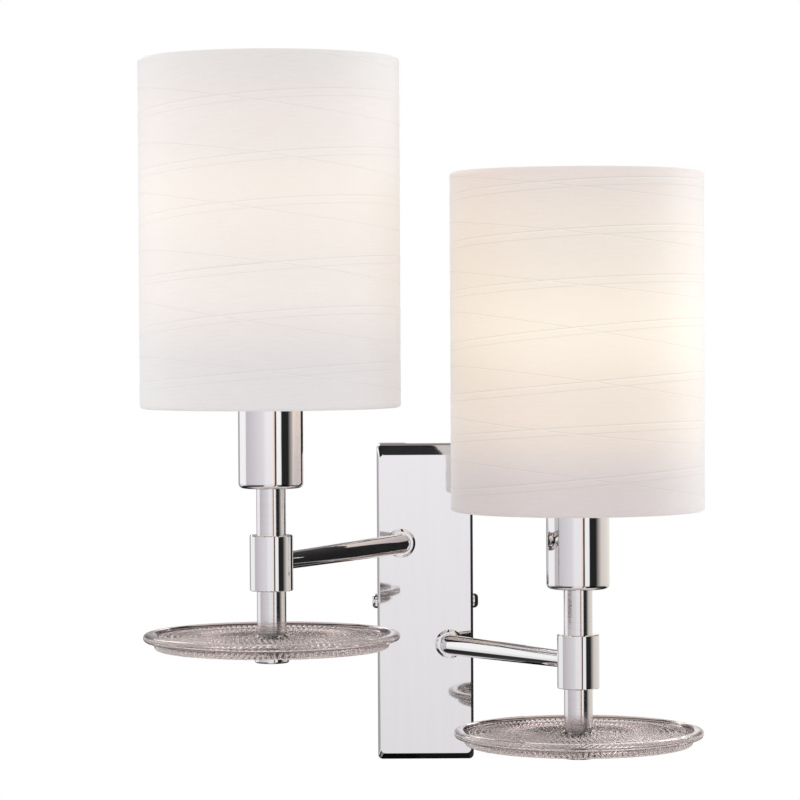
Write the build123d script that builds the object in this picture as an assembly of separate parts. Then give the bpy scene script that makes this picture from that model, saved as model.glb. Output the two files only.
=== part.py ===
from build123d import *
import os
from math import atan2, cos, degrees, hypot, sin, sqrt, tan

# Wall sconce with two lamps, in millimetres. X runs to the viewer's right, Y into the wall and Z up.
# The origin is on the wall, behind the middle of the plate. The left lamp is the higher one and
# stands further out from the wall.

# Plate: a shallow pan, open towards the wall
plate_width = 60.0
plate_height = 198.0
plate_depth = 22.0
plate_wall = 1.2
plate_edge_radius = 2.5
plate_corner_radius = 3.0

# Bracket that is screwed to the wall, and the screws that hold the plate on it
bracket_thickness = 1.5
strap_width = 30.0
strap_height = 112.0
ear_height = 24.0
ear_depth = 17.0
slot_spacing = 83.3
slot_width = 5.0
slot_length = 12.0
wire_hole_diameter = 22.0
side_screw_diameter = 4.0
side_screw_setback = 11.0
side_screw_grip = 4.0
side_screw_head_diameter = 9.0
side_screw_head_height = 3.2
side_screw_dome_radius = 2.5
hex_socket_width = 2.5
hex_socket_depth = 1.4
ground_screw_diameter = 4.0
ground_screw_head_width = 7.0
ground_screw_head_height = 3.0
ground_screw_height = -28.0

# Arms: a threaded spigot through the plate, a tight elbow and a straight taper to the collar
sides = {"left": -1, "right": 1}
arm_height = {"left": 37.0, "right": -26.0}
lamp_reach = {"left": 160.0, "right": 108.0}
lamp_offset = 89.5
arm_offset = 15.0
arm_base_diameter = 12.6
arm_tip_diameter = 10.0
arm_bore = 6.4
arm_bend_distance = 8.0
arm_bend_radius = 14.0
arm_thread_diameter = 10.0
arm_thread_spare = 2.0
arm_tip_shoulder = 0.8
arm_tip_spigot_gap = 1.0
flange_diameter = 18.0
flange_thickness = 2.5
flange_edge_radius = 0.9
lock_washer_diameter = 18.0
lock_washer_thickness = 1.0
locknut_width = 15.0
locknut_thickness = 4.0

# Lamp stack on the threaded rod, measured from the arm's axis
collar_diameter = 25.0
collar_length = 32.0
collar_chamfer = 0.5
stem_diameter = 17.0
stem_wall = 2.5
stem_seat = 4.0
upper_stem_showing = 27.0
lower_stem_showing = 24.7
rod_diameter = 10.0
rod_bore = 6.4
rod_end_play = 0.4
cup_diameter = 37.4
cup_wall = 1.0
cup_floor = 1.2
cup_height = 66.0
cup_bottom_radius = 3.0
lampholder_skirt_step = 0.7
lampholder_skirt_length = 15.0
lampholder_above_cup = 10.0
lampholder_hub_depth = 10.0
terminal_bore = 7.0
terminal_depth = 18.0
screw_shell_wall = 0.4
screw_shell_depth = 27.0
screw_shell_recess = 0.5
contact_diameter = 9.0
contact_height = 2.2
contact_chamfer = 0.7
contact_hole_diameter = 14.0

# Glass disc, its washers and the nut below it
disc_diameter = 148.0
disc_thickness = 7.8
disc_lip_rise = 1.1
disc_lip_thickness = 4.2
disc_lip_width = 5.5
disc_lip_slope = 3.0
disc_step = 7.0
disc_lip_radius = 1.8
disc_lower_radius = 2.0
disc_washer_diameter = 16.0
disc_washer_thickness = 0.8
finial_diameter = 20.0
finial_height = 7.4
finial_thread_depth = 5.6
finial_edge_radius = 1.2

# Shade: fabric turned in over two wire rings, a stiff liner, and a spider that sits on the cup
shade_diameter = 150.0
shade_height = 200.0
cup_below_shade = 46.0
fabric_thickness = 0.8
hem_depth = 8.0
shade_wire_diameter = 3.0
liner_thickness = 0.6
liner_end_gap = 5.0
fitter_width = 5.4
fitter_thickness = 1.5
spoke_count = 3
spoke_diameter = 3.0
spoke_first_angle = 90.0
clamp_ring_wall = 4.5
clamp_ring_height = 5.0
clamp_ring_chamfer = 0.6

# Bulb with a screw cap
cap_crest_diameter = 26.2
cap_thread_depth = 0.8
cap_thread_pitch = 3.63
cap_thread_turns = 4
cap_thread_radius = 1.2
cap_first_thread = 2.2
cap_length = 21.0
cap_collar_step = 0.3
cap_wall = 1.0
bulb_tip_diameter = 9.0
bulb_tip_height = 1.5
bulb_tip_chamfer = 0.7
insulator_height = 2.6
insulator_step = 1.0
bulb_diameter = 31.8
bulb_length = 105.8
bulb_belly = 52.8
bulb_neck_depth = 12.0
bulb_glass_wall = 0.9
bulb_point_radius = 5.5
bulb_point_depth = 7.0

# Leads inside the arms and the connectors on their ends
lead_diameter = 4.0
lead_turn_radius = 8.0
lead_back_radius = 6.0
lead_back_distance = 7.5
lead_drop = 16.0
connector_mouth_diameter = 11.0
connector_tip_diameter = 7.0
connector_length = 20.0
connector_grip = 7.0

# Clearances
part_clearance = 0.1
screw_clearance = 0.2
glass_clearance = 0.5
lift_clearance = 0.3
fitter_clearance = 0.4
spoke_clearance = 0.15
lampholder_clearance = 0.5
thread_clearance = 0.35

# Heights in the lamp's own frame, with the arm's axis at zero
collar_top = collar_length / 2
cup_bottom = collar_top + upper_stem_showing
cup_top = cup_bottom + cup_height
shade_bottom = cup_bottom + cup_below_shade
shade_top = shade_bottom + shade_height
stem_bottom = -collar_top - lower_stem_showing
disc_top = stem_bottom - disc_washer_thickness
disc_bottom = disc_top - disc_thickness
finial_top = disc_bottom - disc_washer_thickness
finial_bottom = finial_top - finial_height
lampholder_bottom = cup_bottom + cup_floor + locknut_thickness
lampholder_top = cup_top + lampholder_above_cup
socket_floor = lampholder_top - screw_shell_depth
lead_top = lampholder_bottom + lampholder_hub_depth + terminal_depth
rod_top = lampholder_bottom + lampholder_hub_depth - rod_end_play
rod_bottom = finial_top - finial_thread_depth + rod_end_play
bulb_bottom = socket_floor + contact_height
cap_bottom = bulb_bottom + bulb_tip_height + insulator_height
cap_top = cap_bottom + cap_length

# Diameters that follow from what each piece fits
arm_tip_spigot_diameter = arm_tip_diameter - 2 * arm_tip_shoulder
cup_bore = cup_diameter - 2 * cup_wall
lampholder_skirt_diameter = cup_bore - 2 * lampholder_clearance
lampholder_diameter = lampholder_skirt_diameter - 2 * lampholder_skirt_step
screw_shell_bore = cap_crest_diameter + 2 * thread_clearance
cap_root_diameter = cap_crest_diameter - 2 * cap_thread_depth
cap_collar_diameter = cap_root_diameter - 2 * cap_collar_step
cap_bore = cap_collar_diameter - 2 * cap_wall
bulb_neck_diameter = cap_bore - 2 * part_clearance
fitter_bore = lampholder_skirt_diameter + 2 * fitter_clearance
fitter_diameter = fitter_bore + 2 * fitter_width
clamp_ring_bore = lampholder_skirt_diameter + 2 * lift_clearance
clamp_ring_diameter = clamp_ring_bore + 2 * clamp_ring_wall
disc_lower_diameter = disc_diameter - 2 * disc_step

# Radii of the shade's wall, from the outside in
fabric_inner = shade_diameter / 2 - fabric_thickness
hem_inner_radius = shade_wire_diameter / 2 + part_clearance
hem_outer_radius = hem_inner_radius + fabric_thickness
wire_ring_radius = shade_diameter / 2 - hem_outer_radius
spoke_angles = [spoke_first_angle + i * 360 / spoke_count for i in range(spoke_count)]

upright = (Align.CENTER, Align.CENTER, Align.MIN)
# Cutting tools run past the faces that they cut by this much.
overcut = 1.0


def rod_between(diameter, bottom, top):
    """A round bar on the Z axis."""
    return Pos(0, 0, bottom) * Cylinder(diameter / 2, top - bottom, align=upright)


def tube_between(outer, inner, bottom, top):
    """A round tube on the Z axis."""
    return rod_between(outer, bottom, top) - rod_between(inner, bottom - overcut, top + overcut)


def hex_between(width, hole, bottom, top):
    """A hexagon with a round hole on the Z axis."""
    outline = RegularPolygon(width / 2, 6, major_radius=False) - Circle(hole / 2)
    return Pos(0, 0, bottom) * extrude(outline, top - bottom)


def section(left, right, bottom, top):
    """A rectangle of a turned profile: left and right are radii, bottom and top are heights."""
    return Pos((left + right) / 2, (bottom + top) / 2) * Rectangle(right - left, top - bottom)


def turned(profile):
    """A profile, drawn as radius and height, turned about the Z axis."""
    return revolve(Plane.XZ * profile, Axis.Z)


def plate_shell(width, height, front, corner_radius, edge_radius):
    """A block on the wall with rounded corners and a rounded front edge."""
    block = extrude(Plane.XZ * RectangleRounded(width, height, corner_radius), front)
    return fillet(block.faces().sort_by(Axis.Y)[0].edges(), edge_radius)


def make_backplate():
    """Pan with holes for the arms in its face and for the screws in its sides."""
    inner_width = plate_width - 2 * plate_wall
    inner_height = plate_height - 2 * plate_wall
    outer = plate_shell(plate_width, plate_height, plate_depth, plate_corner_radius, plate_edge_radius)
    inner = plate_shell(inner_width, inner_height, plate_depth - plate_wall,
                        plate_corner_radius - plate_wall, plate_edge_radius - plate_wall)
    pan = outer - inner
    arm_hole = arm_thread_diameter + 2 * screw_clearance
    for side, sign in sides.items():
        face = Plane((sign * arm_offset, 0, arm_height[side]), z_dir=(0, -1, 0))
        pan -= face * rod_between(arm_hole, 0, plate_depth + overcut)
    side_hole = side_screw_diameter + 2 * screw_clearance
    across = Plane((-plate_width / 2, -side_screw_setback, 0), z_dir=(1, 0, 0))
    return pan - across * rod_between(side_hole, -overcut, plate_width + overcut)


def make_wall_bracket():
    """Upright strap with screw slots, and a cross strap whose ends are bent forward as ears."""
    ear_outside = plate_width / 2 - plate_wall - part_clearance
    outline = Rectangle(strap_width, strap_height) + Rectangle(2 * ear_outside, ear_height)
    outline -= Circle(wire_hole_diameter / 2)
    for sign in (-1, 1):
        outline -= Pos(0, sign * slot_spacing / 2) * SlotOverall(slot_length, slot_width, rotation=90)
    outline -= Pos(0, ground_screw_height) * Circle(ground_screw_diameter / 2 + part_clearance)
    bracket = extrude(Plane.XZ * outline, bracket_thickness)
    hole = side_screw_diameter + 2 * part_clearance
    for sign in (-1, 1):
        middle = sign * (ear_outside - bracket_thickness / 2)
        bracket += Pos(middle, -ear_depth / 2, 0) * Box(bracket_thickness, ear_depth, ear_height)
    across = Plane((-plate_width / 2, -side_screw_setback, 0), z_dir=(1, 0, 0))
    return bracket - across * rod_between(hole, 0, plate_width)


def make_side_screws():
    """Two screws with domed heads and hexagon sockets, one through each side of the pan."""
    reach = plate_wall + part_clearance + bracket_thickness + side_screw_grip
    head = rod_between(side_screw_head_diameter, 0, side_screw_head_height)
    head = fillet(head.edges().sort_by(Axis.Z)[-1], side_screw_dome_radius)
    socket = RegularPolygon(hex_socket_width / 2, 6, major_radius=False)
    head -= Pos(0, 0, side_screw_head_height - hex_socket_depth) * extrude(socket, hex_socket_depth)
    screw = head + rod_between(side_screw_diameter, -reach, 0)
    edge = plate_width / 2
    places = [Plane((sign * edge, -side_screw_setback, 0), z_dir=(sign, 0, 0)) for sign in (-1, 1)]
    return Compound([(place * screw).solid() for place in places])


def make_ground_screw():
    """Earthing screw with a hexagon head, in the bracket."""
    place = Plane((0, -bracket_thickness, ground_screw_height), z_dir=(0, -1, 0))
    outline = RegularPolygon(ground_screw_head_width / 2, 6, major_radius=False)
    head = extrude(outline, ground_screw_head_height)
    return place * (head + rod_between(ground_screw_diameter, -bracket_thickness, 0))


class Arm:
    """Places along one arm, in a frame on the plate's face: Z out of the wall, X outward to the lamp."""

    def __init__(self, side):
        sign = sides[side]
        self.face = Plane((sign * arm_offset, -plate_depth, arm_height[side]),
                          x_dir=(sign, 0, 0), z_dir=(0, -1, 0))
        self.across = lamp_offset - arm_offset
        self.out = lamp_reach[side]
        self.turn = atan2(self.across, self.out - arm_bend_distance)
        self.tangent = arm_bend_radius * tan(self.turn / 2)
        self.bend_start = arm_bend_distance - self.tangent
        self.bend_end = (self.tangent * sin(self.turn), 0, arm_bend_distance + self.tangent * cos(self.turn))
        self.length = hypot(self.across, self.out - arm_bend_distance) - self.tangent
        self.straight = Plane(self.bend_end, x_dir=(cos(self.turn), 0, -sin(self.turn)),
                              z_dir=(sin(self.turn), 0, cos(self.turn)))
        self.lamp_axis = Plane((self.across, 0, self.out), z_dir=(0, sign, 0))
        self.lamp = Pos(sign * lamp_offset, -plate_depth - self.out, arm_height[side])
        # Direction, in the lamp's own frame, from the lamp's axis back along the arm.
        inward = (-sign * self.across, self.out - arm_bend_distance, 0)
        self.back = Plane((0, 0, 0), x_dir=(0, 0, 1), z_dir=inward)

    def elbow(self, diameter):
        axis = Axis((arm_bend_radius, 0, self.bend_start), (0, 1, 0))
        start = Plane((0, 0, self.bend_start)) * Circle(diameter / 2)
        return revolve(start, axis, degrees(self.turn))


def make_arm(arm):
    """Bent tube: spigot behind the plate, elbow, taper, saddle on the collar and a spigot into it."""
    spigot = plate_wall + lock_washer_thickness + locknut_thickness + arm_thread_spare
    collar_radius = collar_diameter / 2
    saddle = arm.length - sqrt(collar_radius ** 2 - (arm_tip_diameter / 2) ** 2)
    tip_end = arm.length - rod_diameter / 2 - arm_tip_spigot_gap
    solid = rod_between(arm_thread_diameter, -spigot, 0) + rod_between(arm_base_diameter, 0, arm.bend_start)
    solid += arm.elbow(arm_base_diameter)
    solid += arm.straight * Cone(arm_base_diameter / 2, arm_tip_diameter / 2, saddle, align=upright)
    solid -= arm.lamp_axis * Cylinder(collar_radius, collar_length)
    solid += arm.straight * rod_between(arm_tip_spigot_diameter, saddle - arm_tip_diameter, tip_end)
    solid -= rod_between(arm_bore, -spigot - overcut, arm.bend_start)
    solid -= arm.elbow(arm_bore)
    solid -= arm.straight * rod_between(arm_bore, 0, tip_end + overcut)
    return arm.face * solid


def make_arm_flange(arm):
    """Ring on the plate's face around the arm's base."""
    ring = rod_between(flange_diameter, 0, flange_thickness)
    ring = fillet(ring.edges().sort_by(Axis.Z)[-1], flange_edge_radius)
    bore = arm_base_diameter + 2 * part_clearance
    return arm.face * (ring - rod_between(bore, -overcut, flange_thickness + overcut))


def make_arm_washer(arm):
    """Lock washer behind the plate's face."""
    hole = arm_thread_diameter + 2 * screw_clearance
    back = -plate_wall - lock_washer_thickness
    return arm.face * tube_between(lock_washer_diameter, hole, back, -plate_wall)


def make_arm_locknut(arm):
    """Nut that holds the arm in the plate."""
    front = -plate_wall - lock_washer_thickness
    hole = arm_thread_diameter + 2 * part_clearance
    return arm.face * hex_between(locknut_width, hole, front - locknut_thickness, front)


def make_lead(arm, side):
    """Sheathed lead from the lampholder down the rod, along the arm and into the plate."""
    sign = sides[side]
    drop = sign * lead_drop
    lamp = arm.lamp.position
    turn_in = Vector(sign * arm_offset, -plate_depth - arm_bend_distance, lamp.Z)
    corner = Vector(turn_in.X, -lead_back_distance, lamp.Z)
    points = [lamp + Vector(0, 0, lead_top), lamp, turn_in, corner, corner + Vector(0, 0, drop)]
    path = FilletPolyline(*points, radius=[lead_turn_radius, arm_bend_radius, lead_back_radius])
    return sweep(Plane(path @ 0, z_dir=path % 0) * Circle(lead_diameter / 2), path)


def make_lead_connectors():
    """A tapered screw-on connector on the end of each lead."""
    connectors = []
    for side, sign in sides.items():
        end = Plane((sign * arm_offset, -lead_back_distance, arm_height[side] + sign * lead_drop),
                    z_dir=(0, 0, sign))
        body = Pos(0, 0, -connector_grip) * Cone(connector_mouth_diameter / 2, connector_tip_diameter / 2,
                                                 connector_length, align=upright)
        body -= rod_between(lead_diameter + 2 * part_clearance, -connector_grip - overcut, 0)
        connectors.append((end * body).solid())
    return Compound(connectors)


def make_collar(arm):
    """Short fat cylinder that joins the arm to both stems."""
    body = rod_between(collar_diameter, -collar_top, collar_top)
    body = chamfer(body.edges().filter_by(GeomType.CIRCLE), collar_chamfer)
    body -= rod_between(rod_diameter + 2 * screw_clearance, -collar_top - overcut, collar_top + overcut)
    seat = stem_diameter + 2 * part_clearance
    body -= rod_between(seat, collar_top - stem_seat, collar_top + overcut)
    body -= rod_between(seat, -collar_top - overcut, -collar_top + stem_seat)
    hole = arm_tip_spigot_diameter + 2 * part_clearance
    return body - arm.back * rod_between(hole, 0, collar_diameter)


def make_threaded_rod(arm):
    """Hollow rod through the whole stack, with a window that lets the lead in from the arm."""
    rod = tube_between(rod_diameter, rod_bore, rod_bottom, rod_top)
    window_width = lead_diameter + 2 * glass_clearance
    window_bottom = -window_width / 2
    window_top = lead_turn_radius + lead_diameter / 2
    window = Pos((window_bottom + window_top) / 2, 0, 0) * Box(
        window_top - window_bottom, window_width, rod_diameter, align=upright)
    return rod - arm.back * window


def make_upper_stem():
    """Tube between the collar and the cup."""
    return tube_between(stem_diameter, stem_diameter - 2 * stem_wall, collar_top - stem_seat, cup_bottom)


def make_lower_stem():
    """Tube between the collar and the glass disc."""
    return tube_between(stem_diameter, stem_diameter - 2 * stem_wall, stem_bottom, -collar_top + stem_seat)


def make_socket_cup():
    """Deep cup around the lampholder, with a rounded bottom edge."""
    outer = rod_between(cup_diameter, cup_bottom, cup_top)
    outer = fillet(outer.edges().sort_by(Axis.Z)[0], cup_bottom_radius)
    inner = rod_between(cup_bore, cup_bottom + cup_floor, cup_top + overcut)
    inner = fillet(inner.edges().sort_by(Axis.Z)[0], cup_bottom_radius - cup_wall)
    return outer - inner - rod_between(rod_diameter + 2 * screw_clearance, cup_bottom - overcut, cup_top)


def make_cup_locknut():
    """Nut on the rod that clamps the cup's floor to the upper stem."""
    bottom = cup_bottom + cup_floor
    hole = rod_diameter + 2 * part_clearance
    return hex_between(locknut_width, hole, bottom, bottom + locknut_thickness)


def make_lampholder():
    """Moulded lampholder: hub on the rod, terminal bore, screw-shell cavity and clamp-ring skirt."""
    body = rod_between(lampholder_diameter, lampholder_bottom, lampholder_top)
    body += rod_between(lampholder_skirt_diameter, lampholder_top - lampholder_skirt_length, lampholder_top)
    hub_top = lampholder_bottom + lampholder_hub_depth
    body -= rod_between(rod_diameter + 2 * part_clearance, lampholder_bottom - overcut, hub_top)
    body -= rod_between(terminal_bore, hub_top, lead_top)
    cavity = screw_shell_bore + 2 * screw_shell_wall + 2 * part_clearance
    return body - rod_between(cavity, socket_floor, lampholder_top + overcut)


def make_screw_shell():
    """Thin metal shell that takes the bulb's cap."""
    outer = screw_shell_bore + 2 * screw_shell_wall
    top = lampholder_top - screw_shell_recess
    floor = tube_between(outer, contact_hole_diameter, socket_floor, socket_floor + screw_shell_wall)
    return floor + tube_between(outer, screw_shell_bore, socket_floor, top)


def make_centre_contact():
    """Sprung contact in the middle of the socket, drawn as a rounded button."""
    button = rod_between(contact_diameter, socket_floor, bulb_bottom)
    return chamfer(button.edges().sort_by(Axis.Z)[-1], contact_chamfer)


def make_glass_disc():
    """Pressed glass disc: flat field, raised lip and a smaller step below."""
    rim = disc_diameter / 2
    lip_inside = rim - disc_lip_width
    lip_top = disc_top + disc_lip_rise
    lip_bottom = lip_top - disc_lip_thickness
    hole = rod_diameter / 2 + glass_clearance
    lower = disc_lower_diameter / 2
    corners = [(hole, disc_top), (lip_inside - disc_lip_slope, disc_top), (lip_inside, lip_top),
               (rim, lip_top), (rim, lip_bottom), (lower, lip_bottom),
               (lower, disc_bottom), (hole, disc_bottom)]
    profile = make_face(Polyline(*corners, close=True))
    rounded = {(rim, lip_top): disc_lip_radius, (rim, lip_bottom): disc_lip_radius,
               (lower, disc_bottom): disc_lower_radius}
    for corner, radius in rounded.items():
        nearest = profile.vertices().sort_by_distance(Vector(*corner))[0]
        profile = fillet(nearest, radius)
    return turned(profile)


def make_disc_washers():
    """Soft washers above and below the glass."""
    hole = rod_diameter + 2 * screw_clearance
    upper = tube_between(disc_washer_diameter, hole, disc_top, stem_bottom)
    lower = tube_between(disc_washer_diameter, hole, finial_top, disc_bottom)
    return Compound([upper.solid(), lower.solid()])


def make_finial():
    """Round nut that closes the stack from below."""
    body = rod_between(finial_diameter, finial_bottom, finial_top)
    body = fillet(body.edges().sort_by(Axis.Z)[0], finial_edge_radius)
    hole = rod_diameter + 2 * part_clearance
    return body - rod_between(hole, finial_top - finial_thread_depth, finial_top + overcut)


def spoke_bar(angle, diameter):
    """Straight bar from the fitter's edge down to the lower wire ring."""
    start = Vector(fitter_diameter / 2 - fitter_thickness, 0, cup_top + fitter_thickness / 2)
    end = Vector(wire_ring_radius, 0, shade_bottom + hem_outer_radius)
    run = Plane(start, z_dir=end - start)
    return Rot(0, 0, angle) * (run * rod_between(diameter, 0, (end - start).length))


def wire_ring(height):
    """One of the shade's two wire rings."""
    return turned(Pos(wire_ring_radius, height) * Circle(shade_wire_diameter / 2))


def make_shade_rings():
    """Upper and lower wire rings, each inside a hem."""
    heights = (shade_bottom + hem_outer_radius, shade_top - hem_outer_radius)
    return Compound([wire_ring(height).solid() for height in heights])


def make_shade_fitter():
    """Flat ring that rests on the cup's rim, around the lampholder's skirt."""
    return tube_between(fitter_diameter, fitter_bore, cup_top, cup_top + fitter_thickness)


def make_shade_spokes():
    """Wires that carry the lower ring from the fitter."""
    ring = wire_ring(shade_bottom + hem_outer_radius)
    fitter = rod_between(fitter_diameter, cup_top - spoke_diameter, cup_top + 2 * spoke_diameter)
    return Compound([(spoke_bar(angle, spoke_diameter) - fitter - ring).solid() for angle in spoke_angles])


def make_shade_liner():
    """Stiff tube behind the fabric."""
    outer = 2 * (fabric_inner - part_clearance / 2)
    inner = outer - 2 * liner_thickness
    return tube_between(outer, inner, shade_bottom + liner_end_gap, shade_top - liner_end_gap)


def make_shade_fabric():
    """Fabric drum whose ends turn in over the wire rings and down inside as hems."""
    low = shade_bottom + hem_outer_radius
    high = shade_top - hem_outer_radius
    profile = section(fabric_inner, shade_diameter / 2, low, high)
    fold = Circle(hem_outer_radius) - Circle(hem_inner_radius)
    below = Pos(0, -hem_outer_radius / 2) * Rectangle(2 * hem_outer_radius, hem_outer_radius)
    above = Pos(0, hem_outer_radius / 2) * Rectangle(2 * hem_outer_radius, hem_outer_radius)
    profile += Pos(wire_ring_radius, low) * (fold & below)
    profile += Pos(wire_ring_radius, high) * (fold & above)
    hem_inside = wire_ring_radius - hem_outer_radius
    profile += section(hem_inside, hem_inside + fabric_thickness, low, low + hem_depth)
    profile += section(hem_inside, hem_inside + fabric_thickness, high - hem_depth, high)
    drum = turned(profile)
    for angle in spoke_angles:
        drum -= spoke_bar(angle, spoke_diameter + 2 * spoke_clearance)
    return drum


def make_shade_ring():
    """Ring that screws down on the lampholder's skirt and clamps the fitter."""
    bottom = cup_top + fitter_thickness
    ring = rod_between(clamp_ring_diameter, bottom, bottom + clamp_ring_height)
    ring = chamfer(ring.edges().filter_by(GeomType.CIRCLE), clamp_ring_chamfer)
    return ring - rod_between(clamp_ring_bore, bottom - overcut, bottom + clamp_ring_height + overcut)


def make_bulb_tip():
    """Contact on the bottom of the bulb."""
    tip = rod_between(bulb_tip_diameter, bulb_bottom, bulb_bottom + bulb_tip_height)
    return chamfer(tip.edges().sort_by(Axis.Z)[0], bulb_tip_chamfer)


def make_bulb_insulator():
    """Dark glass cone between the contact and the cap."""
    bottom = bulb_bottom + bulb_tip_height
    narrow = bulb_tip_diameter / 2 + insulator_step
    wide = cap_root_diameter / 2 - insulator_step
    return Pos(0, 0, bottom) * Cone(narrow, wide, insulator_height, align=upright)


def make_bulb_cap():
    """Screw cap with rounded ridges and a bore that takes the bulb's neck."""
    profile = section(0, cap_root_diameter / 2, cap_bottom, cap_top - cap_thread_pitch)
    profile += section(0, cap_collar_diameter / 2, cap_bottom, cap_top)
    for turn in range(cap_thread_turns):
        height = cap_bottom + cap_first_thread + turn * cap_thread_pitch
        profile += Pos(cap_crest_diameter / 2 - cap_thread_radius, height) * Circle(cap_thread_radius)
    cap = turned(profile)
    return cap - rod_between(cap_bore, cap_top - bulb_neck_depth, cap_top + overcut)


def bulb_shape(inset):
    """Solid of the bulb's glass, drawn in from its outside by the inset."""
    neck = bulb_neck_diameter / 2 - inset
    belly = bulb_diameter / 2 - inset
    foot = cap_top - bulb_neck_depth
    top = bulb_bottom + bulb_length - inset
    belly_height = bulb_bottom + bulb_belly
    point = bulb_point_radius - inset
    point_height = bulb_bottom + bulb_length - bulb_point_depth
    rise = Spline((neck, cap_top), (belly, belly_height), tangents=[(0, 1), (0, 1)])
    taper = Spline((belly, belly_height), (point, point_height), (0, top), tangents=[(0, 1), (-1, 0)])
    outline = Line((0, top), (0, foot)) + Line((0, foot), (neck, foot)) + Line((neck, foot), (neck, cap_top))
    return turned(make_face(outline + rise + taper))


def make_bulb_glass():
    """Hollow candle-shaped glass, closed at the foot."""
    foot = cap_top - bulb_neck_depth
    hollow = bulb_shape(bulb_glass_wall) - rod_between(bulb_diameter, foot - overcut, foot + bulb_glass_wall)
    return bulb_shape(0) - hollow


shared_parts = {
    "backplate": make_backplate(),
    "wall_bracket": make_wall_bracket(),
    "side_screws": make_side_screws(),
    "ground_screw": make_ground_screw(),
    "lead_connectors": make_lead_connectors(),
}

lamp_parts = {
    "upper_stem": make_upper_stem(),
    "lower_stem": make_lower_stem(),
    "socket_cup": make_socket_cup(),
    "cup_locknut": make_cup_locknut(),
    "lampholder": make_lampholder(),
    "screw_shell": make_screw_shell(),
    "centre_contact": make_centre_contact(),
    "glass_disc": make_glass_disc(),
    "disc_washers": make_disc_washers(),
    "finial": make_finial(),
    "shade_rings": make_shade_rings(),
    "shade_fitter": make_shade_fitter(),
    "shade_spokes": make_shade_spokes(),
    "shade_liner": make_shade_liner(),
    "shade_fabric": make_shade_fabric(),
    "shade_ring": make_shade_ring(),
    "bulb_tip": make_bulb_tip(),
    "bulb_insulator": make_bulb_insulator(),
    "bulb_cap": make_bulb_cap(),
    "bulb_glass": make_bulb_glass(),
}

nodes = dict(shared_parts)
for side in sides:
    arm = Arm(side)
    nodes[f"{side}_arm"] = make_arm(arm)
    nodes[f"{side}_arm_flange"] = make_arm_flange(arm)
    nodes[f"{side}_arm_washer"] = make_arm_washer(arm)
    nodes[f"{side}_arm_locknut"] = make_arm_locknut(arm)
    nodes[f"{side}_lead"] = make_lead(arm, side)
    nodes[f"{side}_collar"] = arm.lamp * make_collar(arm)
    nodes[f"{side}_threaded_rod"] = arm.lamp * make_threaded_rod(arm)
    for name, piece in lamp_parts.items():
        nodes[f"{side}_{name}"] = arm.lamp * piece

os.makedirs("parts", exist_ok=True)
for name, piece in nodes.items():
    export_step(piece, f"parts/{name}.step")
print(f"{len(nodes)} nodes")
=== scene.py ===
from functools import partial
from math import cos, pi, radians, sin, tan

import bpy
from mathutils import Matrix, Vector


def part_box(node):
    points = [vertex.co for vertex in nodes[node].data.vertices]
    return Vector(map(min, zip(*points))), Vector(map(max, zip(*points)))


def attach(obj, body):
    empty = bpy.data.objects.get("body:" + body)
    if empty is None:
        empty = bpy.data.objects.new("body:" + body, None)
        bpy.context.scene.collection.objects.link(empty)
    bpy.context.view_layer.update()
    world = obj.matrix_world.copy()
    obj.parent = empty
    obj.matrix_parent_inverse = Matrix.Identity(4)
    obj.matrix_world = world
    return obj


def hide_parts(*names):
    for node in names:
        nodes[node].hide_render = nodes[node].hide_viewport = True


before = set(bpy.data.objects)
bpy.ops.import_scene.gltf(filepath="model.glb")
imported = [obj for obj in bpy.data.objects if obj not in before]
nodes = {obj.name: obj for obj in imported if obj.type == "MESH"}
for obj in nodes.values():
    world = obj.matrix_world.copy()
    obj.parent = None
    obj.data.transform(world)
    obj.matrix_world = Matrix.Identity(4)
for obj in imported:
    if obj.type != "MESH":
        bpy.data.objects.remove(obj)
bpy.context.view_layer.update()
scene = bpy.context.scene
scene.view_settings.view_transform = "Standard"
sides = ("left", "right")

# Viewpoint: square on to the plate, a little above the left shade's lower edge and looking slightly down.
# A long lens stands about two metres in front of the plate, turned by a third of a degree.
camera_place = (-0.0149, -2.0476, 0.1748)
camera_turn = (radians(88.63), radians(0.3), 0)
sensor_width, focal_length = 36, 146.25
camera = bpy.data.objects.new("camera", bpy.data.cameras.new("camera"))
camera.location = camera_place
camera.rotation_euler = camera_turn
camera.data.sensor_width = sensor_width
camera.data.lens = focal_length
scene.collection.objects.link(camera)
scene.camera = camera

# Wall bracket: a zinc-plated steel strap, pressed and bent, screwed to the wall behind the plate.
# A green earthing screw sits in it, and the two leads end in screw-on connectors beside it.


def feed(tree, socket, value):
    """Links another node's output to a socket, or sets the socket to a plain value."""
    if isinstance(value, bpy.types.NodeSocket):
        tree.links.new(value, socket)
    else:
        socket.default_value = value


def add(tree, kind, settings=None, **inputs):
    """A new node with its settings, and its named inputs fed; an underscore stands for a space."""
    node = tree.nodes.new(kind)
    for name, value in (settings or {}).items():
        setattr(node, name, value)
    for name, value in inputs.items():
        feed(tree, node.inputs[name.replace("_", " ")], value)
    return node


def new_group(kind, name, inputs, outputs):
    """A node group with named sockets; returns it with its input and output nodes."""
    group = bpy.data.node_groups.new(name, kind)
    for way, sockets in (("OUTPUT", outputs), ("INPUT", inputs)):
        for label, socket_kind in sockets.items():
            group.interface.new_socket(name=label, in_out=way, socket_type=f"NodeSocket{socket_kind}")
    return group, group.nodes.new("NodeGroupInput"), group.nodes.new("NodeGroupOutput")


def mixed(tree, share, first, second, blend="MIX"):
    """A colour between two colours by a share, or the first multiplied by the second."""
    first, second = [(*tone, 1) if isinstance(tone, tuple) else tone for tone in (first, second)]
    settings = {"data_type": "RGBA", "blend_type": blend}
    return add(tree, "ShaderNodeMix", settings, Factor=share, A=first, B=second).outputs["Result"]


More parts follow.
